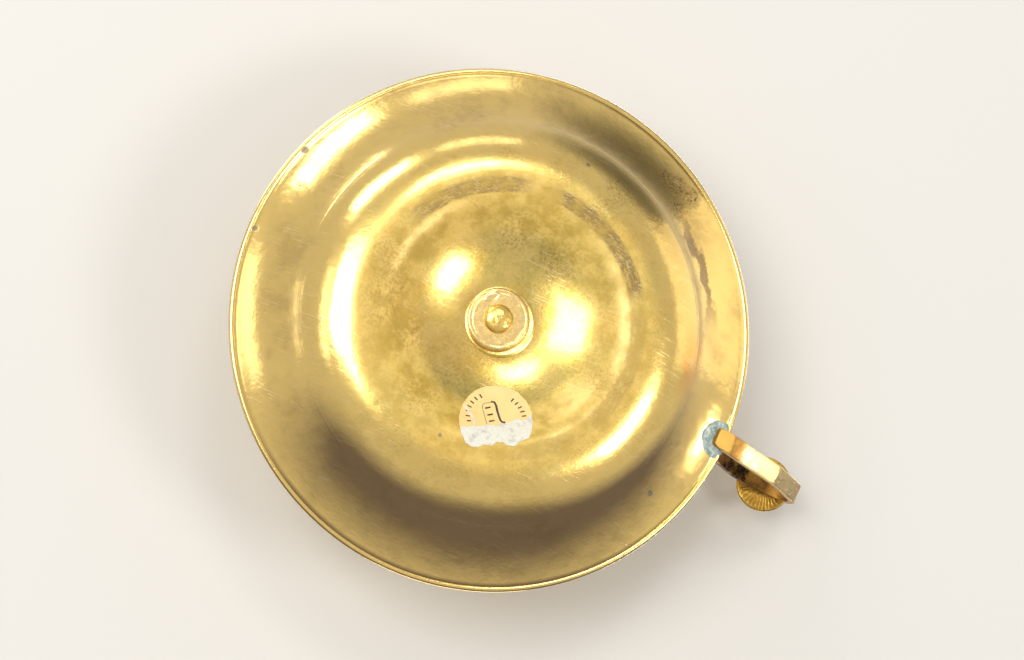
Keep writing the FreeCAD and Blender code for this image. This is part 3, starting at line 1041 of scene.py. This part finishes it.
def make_finger_ring():
    """The strap swept along its bends, with its tongue rounded and its surface left rough."""
    section = strap_section(STRAP_WIDTH / 2, STRAP_THICKNESS, STRAP_CORNER)
    rows, marks = [], {"painted_shade": [], "pad": [], "filed": []}
    run = 0.0
    before = STRAP_START
    for point, slope in bend_line(STRAP_START, STRAP_SLOPE, STRAP_STEPS, 0.0, 0.4):
        run += (point - before).length
        before = point
        tongue = 0.74 + 0.26 * math.sqrt(ramp(run, -0.2, 1.8))
        rows.append([])
        for across, up in section:
            pad, lift = ring_relief(run, across, up, point)
            rows[-1].append(point + left(slope) * (up + lift) + Vector((0, across * tongue, 0)))
            # painted shade, stored per point for the cast brass finish
            marks["painted_shade"].append(painted_shade_on_strap(run, across, up))
            marks["pad"].append(pad)
            marks["filed"].append(plateau(run, (9.0, 12.0), FILED_END) * (1 - ramp(up, 0.2, 0.8)))
    mesh = skin("finger_ring_brass", rows, capped=True)
    for name, values in marks.items():
        mesh.attributes.new(name, "FLOAT", "POINT").data.foreach_set("value", values)
    mesh.materials.append(cast_brass())
    finish_piece("finger_ring_brass", mesh, "finger_ring", 40)


def fluted_plate_tree():
    """Geometry nodes for the thumb plate: a rounded plate whose rim and faces carry filed flutes."""
    tree, given = start_shape("fluted_plate", [
        ("Blank", "Geometry"), ("Radius", "Float"), ("Flutes", "Float"), ("Depth", "Float"),
        ("Seed", "Float")])
    radius, angle = radius_and_angle(tree, add(tree, "GeometryNodeInputPosition"))
    share = add(tree, "ShaderNodeMath", {0: radius, 1: given["Radius"]}, operation="DIVIDE")
    outer, inner = [add(tree, "ShaderNodeMapRange", {"Value": share, "From Min": first, "From Max": last},
                        output="Result") for first, last in ((0.35, 0.6), (0.96, 0.82))]
    uneven = add(tree, "ShaderNodeTexNoise", {"W": given["Seed"], "Scale": 300.0}, output="Fac",
                 noise_dimensions="4D")
    phase = add(tree, "ShaderNodeMath", {0: uneven, 1: 14.0}, operation="MULTIPLY")
    turns = add(tree, "ShaderNodeMath", {0: angle, 1: given["Flutes"], 2: phase}, operation="MULTIPLY_ADD")
    wave = add(tree, "ShaderNodeMath", {0: turns}, operation="SINE")
    level = add(tree, "ShaderNodeMath", {0: wave, 1: 0.5, 2: 0.5}, operation="MULTIPLY_ADD")
    flute = overlap(tree, level, outer, inner)
    marked = add(tree, "GeometryNodeStoreNamedAttribute",
                 {"Geometry": given["Blank"], "Name": "flute", "Value": flute},
                 data_type="FLOAT", domain="POINT")
    push = add(tree, "ShaderNodeMath", {0: flute, 1: given["Depth"]}, operation="MULTIPLY")
    end_shape(tree, given, marked, push)
    return tree


def make_thumb_rest():
    """Round plate with a softened rim, tilted to lie on the ring."""
    edge = REST_RADIUS - REST_CORNER
    outline = [(0, 0)] + arc_points((edge, REST_CORNER), REST_CORNER, -90, 0, 5)
    outline += arc_points((edge, REST_THICKNESS - REST_CORNER), REST_CORNER, 0, 90, 5)
    outline.append((0, REST_THICKNESS))
    brass = filed_brass()
    blank = turned("thumb_rest_blank", spaced(outline, 0.35), 240, 0.05, 3.0, brass)
    values = {"Radius": REST_RADIUS / 1000, "Flutes": 38.0, "Depth": -0.00009, "Seed": 3.0, "Finish": brass}
    mesh = grown("thumb_rest_brass", blank, fluted_plate_tree(), values)
    tilt = Matrix.Rotation(math.radians(REST_TILT), 4, "Y")
    mesh.transform(Matrix.Translation(REST_CENTRE / 1000) @ tilt)
    finish_piece("thumb_rest_brass", mesh, "thumb_rest", 40)


# ---------------------------------------------------------------- solder and label


def pool_point(share, angle, upper):
    """Point of the solder pool: its upper side follows the dish, its lower side swells and crusts."""
    wander = 0.09 * lumps(2 * math.cos(angle), 2 * math.sin(angle), 1.0, 6.0)
    edge = POOL_RADIUS * (1 + wander)
    x = POOL_CENTRE.x + edge * share * math.cos(angle)
    y = POOL_CENTRE.y + edge * share * math.sin(angle)
    held = min(1.0, POOL_LIMIT / math.hypot(x, y))
    x, y = x * held, y * held
    swell = POOL_THICKNESS * (1 - ramp(share, 0.55, 1.0)) * (0.75 + 0.5 * lumps(x, y, 1.3, 2.0))
    crust = 0.10 * (1 - ramp(share, 0.85, 1.0)) * lumps(x, y, 0.5, 7.0)
    depth = -0.05 if upper else max(0.02, swell + crust + 0.04)
    return x, y, underside(math.hypot(x, y)) - depth


def make_rim_solder():
    """Crusted pool under the flange round the ring's tongue, thin and ragged at its edge."""
    mesh = button("rim_solder_crust", 26, 120, pool_point)
    mesh.materials.append(weathered_solder())
    finish_piece("rim_solder_crust", mesh, "rim_solder", 60)


def paint_upper_solder():
    """The two joints on the upper side keep their shape and take the bright solder's finish."""
    solder = bright_solder()
    for node in ("dish_solder", "rest_solder"):
        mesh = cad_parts[node].data
        mesh.materials.clear()
        mesh.materials.append(solder)


# The label in mm across and up its face, as seen from below with the dish's middle above it
LABEL_EDGE = [(0.07, 8.8), (2.9, 8.65), (5.64, 7.5), (8.1, 4.9), (9.3, 1.3), (9.6, -1.4), (9.3, -3.9),
              (8.6, -6.5), (7.3, -7.2), (5.7, -8.1), (4.8, -9.1), (2.9, -9.0), (1.8, -8.3), (0.0, -8.4),
              (-0.4, -8.8), (-1.1, -9.5), (-1.8, -9.3), (-3.5, -9.5), (-4.7, -10.2), (-6.3, -10.2),
              (-7.8, -9.6), (-9.2, -7.2), (-9.8, -4.8), (-9.9, -2.4), (-9.4, 0.2), (-8.5, 2.6),
              (-7.1, 5.0), (-5.5, 6.7), (-2.9, 8.3)]
TEAR_LINE = [(-9.55, -5.3), (-7.5, -5.0), (-5.98, -4.5), (-3.7, -4.0), (-1.8, -3.3), (0.0, -3.2),
             (1.9, -2.45), (3.75, -1.8), (5.2, -0.7), (5.8, 0.1), (6.5, -1.0), (8.1, -0.85),
             (8.9, 0.65), (9.6, 1.2)]
SIDE_TEAR = [(-8.6, 1.9), (-7.4, 0.3), (-6.5, -1.0), (-5.9, -2.5), (-5.6, -4.4)]


def label_point(across, up, lift):
    """Point on the dish's underside under a point of the flat label, lift mm below the brass."""
    normal = Vector((sine(LABEL_TILT), 0, cosine(LABEL_TILT)))
    side = Vector((0, 1, 0))
    point = Vector((LABEL_DISTANCE, 0, underside(LABEL_DISTANCE))) - side * across - side.cross(normal) * up
    for _ in range(8):
        point -= normal * (point.z - underside(math.hypot(point.x, point.y))) * 0.85
    point -= normal * lift
    return Matrix.Rotation(math.radians(LABEL_AZIMUTH), 3, "Z") @ point / 1000


def ragged(outline, seed):
    """Outline with its sides divided and pushed about like torn paper."""
    return [(x + 0.16 * lumps(x, y, 0.5, seed), y + 0.16 * lumps(x, y, 0.5, seed + 5))
            for x, y in spaced(outline, 0.25)]


def sheet_of_paper(name, outline, low, high):
    """Closed thin sheet of an outline that follows the dish, between two distances from the brass."""
    shape = bmesh.new()
    edge = [shape.verts.new((x, y, 0)) for x, y in outline]
    shape.faces.new(edge)
    bmesh.ops.triangulate(shape, faces=shape.faces)
    for axis in ((1, 0, 0), (0, 1, 0)):
        for i in range(-11, 12):
            bmesh.ops.bisect_plane(shape, geom=shape.verts[:] + shape.edges[:] + shape.faces[:],
                                   plane_co=[c * i for c in axis], plane_no=axis)
    made = bmesh.ops.extrude_face_region(shape, geom=shape.faces[:])
    for v in made["geom"]:
        if isinstance(v, bmesh.types.BMVert):
            v.co.z = 1
    for v in shape.verts:
        v.co = label_point(v.co.x, v.co.y, high if v.co.z > 0.5 else low)
    mesh = bpy.data.meshes.new(name)
    shape.to_mesh(mesh)
    shape.free()
    return mesh


def stroke(points, width):
    """Outline of a stroke of even width along a few points."""
    sides = ([], [])
    for i, point in enumerate(points):
        before, after = Vector(points[max(0, i - 1)]), Vector(points[min(len(points) - 1, i + 1)])
        across = (after - before).orthogonal().normalized() * width / 2
        sides[0].append(tuple(Vector(point) + across))
        sides[1].append(tuple(Vector(point) - across))
    return sides[0] + sides[1][::-1]


def label_marks():
    """Plain marks that stand for the print: dashes round the edge, a frame, three bars and a ribbon."""
    marks = []
    for first, last, count in ((122, 196, 7), (10, 54, 5)):
        for i in range(count):
            angle = first + (last - first) * i / (count - 1)
            marks.append(stroke([(r * cosine(angle), r * sine(angle) - 1.0) for r in (6.9, 8.1)], 0.42))
    marks.append(stroke([(-2.4, -3.3), (-3.5, 1.9), (-3.45, 2.7), (-3.0, 3.3), (-1.2, 3.9)], 0.16))
    marks += [stroke([(x - 0.75, y - 0.28), (x + 0.75, y + 0.28)], 0.5)
              for x, y in ((-2.1, 2.1), (-1.5, 0.0), (-1.1, -2.0))]
    marks.append(stroke([(-1.2, 4.1), (-0.3, 4.0), (0.15, 3.0), (0.4, 1.6), (0.75, 0.1), (1.2, -1.4),
                         (1.7, -2.1), (2.5, -2.05)], 0.62))
    return marks


def make_label():
    """Paper core, the printed face that is left on it, a tear down one side and the ink."""
    right_edge = [p for p in LABEL_EDGE if p[0] > 0 and p[1] > 1.3]
    left_edge = [p for p in LABEL_EDGE if p[0] < 0 and p[1] > -5]
    printed = TEAR_LINE + right_edge[::-1] + left_edge[::-1]
    core = sheet_of_paper("label_core", ragged(LABEL_EDGE, 2.0), -0.02, 0.06)
    face = sheet_of_paper("label_face", ragged(printed, 4.0), 0.05, 0.10)
    tear = sheet_of_paper("label_tear", ragged(stroke(SIDE_TEAR, 0.55), 7.0), 0.09, 0.112)
    ink = [sheet_of_paper("label_ink", mark, 0.09, 0.106) for mark in label_marks()]
    sheets = [(core, 0), (face, 1), (tear, 0)] + [(mesh, 2) for mesh in ink]
    for mesh, finish in sheets:
        mesh.polygons.foreach_set("material_index", [finish] * len(mesh.polygons))
    mesh = joined("paper_label_torn", [sheet for sheet, _ in sheets])
    for material in (torn_paper(), coated_paper(), printing_ink()):
        mesh.materials.append(material)
    finish_piece("paper_label_torn", mesh, "paper_label", 30)


make_camera()
light_scene()
make_room()
make_floor("table", 0.0, 1)
make_dark_card()
make_floor("upturned_table", SOCKET_TOP / 1000 + 0.0002, -1)
make_dish()
make_socket()
make_washer()
make_finger_ring()
make_thumb_rest()
make_rim_solder()
make_label()
paint_upper_solder()
